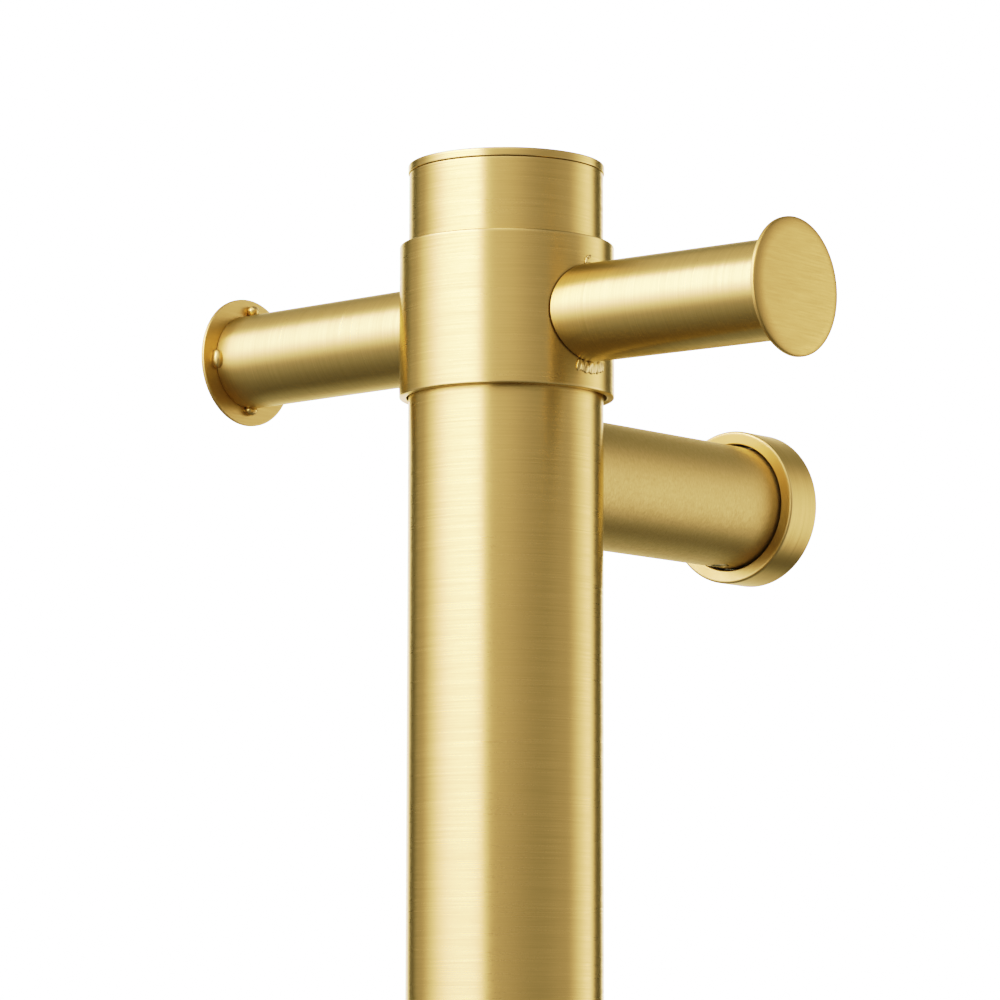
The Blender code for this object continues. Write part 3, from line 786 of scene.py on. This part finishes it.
def pale_floor():
    """A studio floor that turns into the white background far away, and hides nothing from below."""
    material = plain("floor_pale", FLOOR, FLOOR_DARK, 0.8, 0.0, 60.0)
    nodes = Nodes(material.node_tree)
    length = nodes.add("ShaderNodeVectorMath", operation="LENGTH")
    nodes.link(nodes.add("ShaderNodeTexCoord").outputs["Object"], length.inputs[0])
    shader = material.node_tree.nodes["Principled BSDF"]
    glow = nodes.ramp(length.outputs["Value"], 1.0, 9.0, 0.0, WHITE_LEVEL)
    nodes.link(glow, shader.inputs["Emission Strength"])
    shader.inputs["Emission Color"].default_value = (*FLOOR_GLOW, 1)
    clear = nodes.add("ShaderNodeMixShader")
    nodes.link(nodes.add("ShaderNodeNewGeometry").outputs["Backfacing"], clear.inputs[0])
    nodes.link(shader.outputs[0], clear.inputs[1])
    nodes.link(nodes.add("ShaderNodeBsdfTransparent").outputs[0], clear.inputs[2])
    nodes.link(clear.outputs[0], material.node_tree.nodes["Material Output"].inputs["Surface"])
    return material


def make_floor():
    level = BAR_BOTTOM - FLOOR_BELOW
    bm = bmesh.new()
    bmesh.ops.create_grid(bm, x_segments=8, y_segments=8, size=60)
    bmesh.ops.translate(bm, vec=(0, 0, level), verts=bm.verts)
    mesh = bpy.data.meshes.new("floor")
    bm.to_mesh(mesh)
    bm.free()
    floor = bpy.data.objects.new("floor", mesh)
    bpy.context.scene.collection.objects.link(floor)
    mesh.materials.append(pale_floor())
    floor.visible_glossy = False


def make_light():
    """A studio as the metal reflects it: azimuth 0 is the front, 90 the right, 180 the wall."""
    world = bpy.data.worlds.new("studio")
    bpy.context.scene.world = world
    world.use_nodes = True
    world.node_tree.nodes.clear()
    nodes = Nodes(world.node_tree)
    direction = nodes.add("ShaderNodeTexCoord").outputs["Generated"]
    parts = nodes.add("ShaderNodeSeparateXYZ")
    nodes.link(direction, parts.inputs[0])
    x, y, z = parts.outputs
    azimuth = nodes.math("DEGREES", nodes.math("ARCTAN2", x, nodes.math("MULTIPLY", y, -1.0)))
    height = nodes.math("DEGREES", nodes.math("ARCSINE", z))
    total = nodes.ramp(height, -50.0, 0.0, 0.12, 0.09)

    def patch(strength, *edges):
        """Adds a soft patch of light. Each edge is (value, where it is dark, where it is lit)."""
        nonlocal total
        amount = strength
        for value, dark, lit in edges:
            amount = nodes.math("MULTIPLY", nodes.ramp(value, dark, lit), amount)
        total = nodes.math("ADD", total, amount)

    # The key softbox in front, on the left. Its sides lean to the left higher up.
    lean = nodes.math("ADD", azimuth, nodes.math("MULTIPLY", nodes.math("SUBTRACT", height, 9.0), 0.44))
    patch(3.66, (lean, -77.0, -22.0), (lean, 16.0, 15.0), (height, 51.0, 44.0), (height, -28.0, 22.0))
    # Its glow on the floor and the left wall
    left_wall = ((azimuth, -98.0, -82.0), (azimuth, 17.0, -14.0))
    patch(0.32, *left_wall, (height, 51.0, 44.0), (height, -55.0, -17.0))
    # The room in front, brighter towards its ceiling
    patch(0.31, (azimuth, -30.0, 10.0), (azimuth, 100.0, 30.0), (height, -21.0, 18.0))
    patch(0.99, (azimuth, -30.0, 10.0), (azimuth, 100.0, 30.0), (height, 4.0, 28.0))
    # A strip light behind, on the right, and the wall that it lights
    strip = ((azimuth, 117.0, 163.0), (azimuth, 172.0, 156.0))
    patch(1.85, *strip, (height, 42.0, 0.0), (height, -47.0, -5.0))
    right_wall = ((azimuth, 40.0, 114.0), (azimuth, 180.0, 150.0))
    patch(0.32, *right_wall, (height, 70.0, 20.0), (height, -60.0, -15.0))
    # The white panel behind, which the camera faces
    panel = ((azimuth, -170.0, -163.0), (azimuth, -105.0, -116.0))
    patch(1.88, *panel, (height, 31.0, 25.0), (height, -51.0, 7.0))
    # Light from above: on the left, and over the wall
    patch(0.16, (y, 0.3, 0.8), (height, 20.0, 45.0))
    patch(0.48, (azimuth, -170.0, -110.0), (azimuth, 70.0, 0.0), (height, 37.0, 48.0))

    seen = nodes.add("ShaderNodeLightPath").outputs["Is Camera Ray"]
    white = nodes.math("MULTIPLY", seen, WHITE_LEVEL)
    total = nodes.math("MULTIPLY", total, LIGHT)
    dim = nodes.math("MULTIPLY", nodes.math("SUBTRACT", 1.0, seen), total)
    background = nodes.add("ShaderNodeBackground")
    background.inputs["Color"].default_value = (1, 1, 1, 1)
    nodes.link(nodes.math("ADD", white, dim), background.inputs["Strength"])
    output = nodes.add("ShaderNodeOutputWorld")
    nodes.link(background.outputs[0], output.inputs["Surface"])


def shown_tone(bright):
    """What a brightness of the scene shows as, where 1 is pure white."""
    if bright < KNEE:
        return bright * (TONE_GAIN - TOE_DEPTH * exp(-bright / TOE_REACH))
    return 1 + SHOULDER * log(bright / WHITE_LEVEL)


def make_tone():
    """A camera's gentle curve: a little more contrast in the darks, and highlights that roll off.

    The green and blue curves come first, on a scale where WHITE_LEVEL is 1.
    """
    view = bpy.context.scene.view_settings
    view.view_transform = "Standard"
    view.use_curve_mapping = True
    mapping = view.curve_mapping
    mapping.white_level = (WHITE_LEVEL,) * 3
    for step in range(TONE_POINTS, 0, -1):
        given = TONE_STEP**-step
        mapping.curves[3].points.new(given, shown_tone(given * WHITE_LEVEL))
    # Darks and middle tones are warmer than highlights
    green = ((0.055, 0.052), (0.12, 0.11), (0.2, 0.173), (0.3, 0.252), (0.42, 0.368))
    green += ((0.5, 0.465), (0.6, 0.63), (0.7, 0.79), (0.85, 0.91))
    blue = ((0.041, 0.03), (0.08, 0.062), (0.14, 0.111), (0.2, 0.17), (0.25, 0.235))
    blue += ((0.29, 0.31), (0.4, 0.46), (0.66, 0.74))
    for channel, points in ((1, green), (2, blue)):
        for given, shown in points:
            mapping.curves[channel].points.new(given, shown)
    mapping.extend = "HORIZONTAL"
    mapping.update()


def make_camera():
    camera = bpy.data.objects.new("camera", bpy.data.cameras.new("camera"))
    bpy.context.scene.collection.objects.link(camera)
    bpy.context.scene.camera = camera
    camera.data.sensor_width = 36
    camera.data.lens = CAMERA_LENS
    camera.data.clip_start = 0.01
    ahead = Vector((-sin(CAMERA_TURN), cos(CAMERA_TURN), 0))
    right = Vector((cos(CAMERA_TURN), sin(CAMERA_TURN), 0))
    forward = ahead * cos(CAMERA_PITCH) + Vector((0, 0, sin(CAMERA_PITCH)))
    up = Vector((0, 0, cos(CAMERA_PITCH))) - ahead * sin(CAMERA_PITCH)
    tilted_right = right * cos(CAMERA_ROLL) + up * sin(CAMERA_ROLL)
    tilted_up = up * cos(CAMERA_ROLL) - right * sin(CAMERA_ROLL)
    turn = Matrix((tilted_right, tilted_up, -forward)).transposed()
    camera.rotation_euler = turn.to_euler()
    camera.location = (
        on_bar(BAR_TOP - CAMERA_BELOW_TOP) - ahead * CAMERA_DISTANCE + right * CAMERA_SIDE
    )


make_camera()
make_tone()
make_light()
make_floor()
make_bar()
make_cap("top", BAR_TOP, UP)
make_cap("bottom", BAR_BOTTOM, DOWN)
for wall_side in ("upper", "lower"):
    make_arm(wall_side)
    make_rosette(wall_side)
make_collar()
make_peg("left", TO_LEFT)
make_peg("right", TO_RIGHT)
make_welds()
make_set_screws()
finish_kept_pieces()
